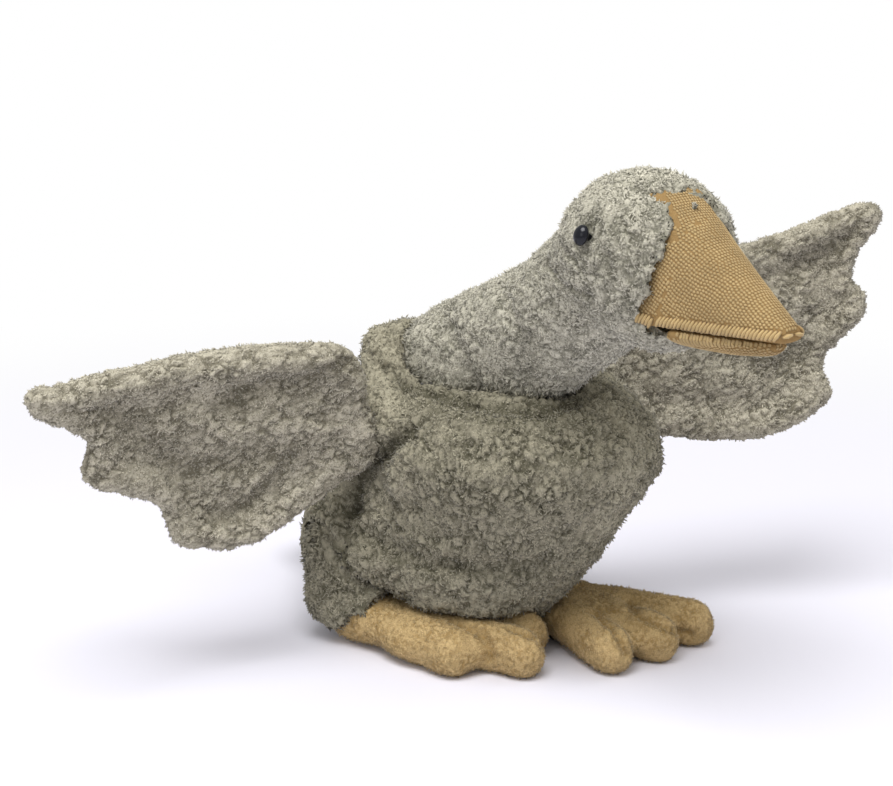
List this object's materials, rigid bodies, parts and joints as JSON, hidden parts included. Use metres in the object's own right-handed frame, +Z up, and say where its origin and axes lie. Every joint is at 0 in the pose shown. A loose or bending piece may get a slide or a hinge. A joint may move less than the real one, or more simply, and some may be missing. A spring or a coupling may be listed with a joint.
{
  "type": "plush goose",
  "caption": "Stuffed plush goose standing on broad toed feet, neck stretched forward with a wedge beak, scalloped wings spread to both sides.",
  "frame": {"origin": "on the floor, under the centre of the bounding box", "axes": "+Z up, the goose faces -Y, its left wing is on +X and the wing span is the longest extent"},
  "size_m": [0.3596, 0.3014, 0.209],
  "materials": {
    "grey_plush": "short curly pile, matt",
    "ochre_plush": "short dense pile, matt",
    "ochre_knit": "fine ribbed knit, matt",
    "black_bead": "polished bead"
  },
  "bodies": {
    "root": {"torso": "grey_plush", "neck_and_head": "grey_plush", "tail": "grey_plush", "right_wing": "grey_plush", "left_wing": "grey_plush", "right_leg": "grey_plush", "left_leg": "grey_plush", "right_foot": "ochre_plush", "left_foot": "ochre_plush", "upper_beak": "ochre_knit", "lower_beak": "ochre_knit", "right_eye": "black_bead", "left_eye": "black_bead"}
  },
  "joints": []
}
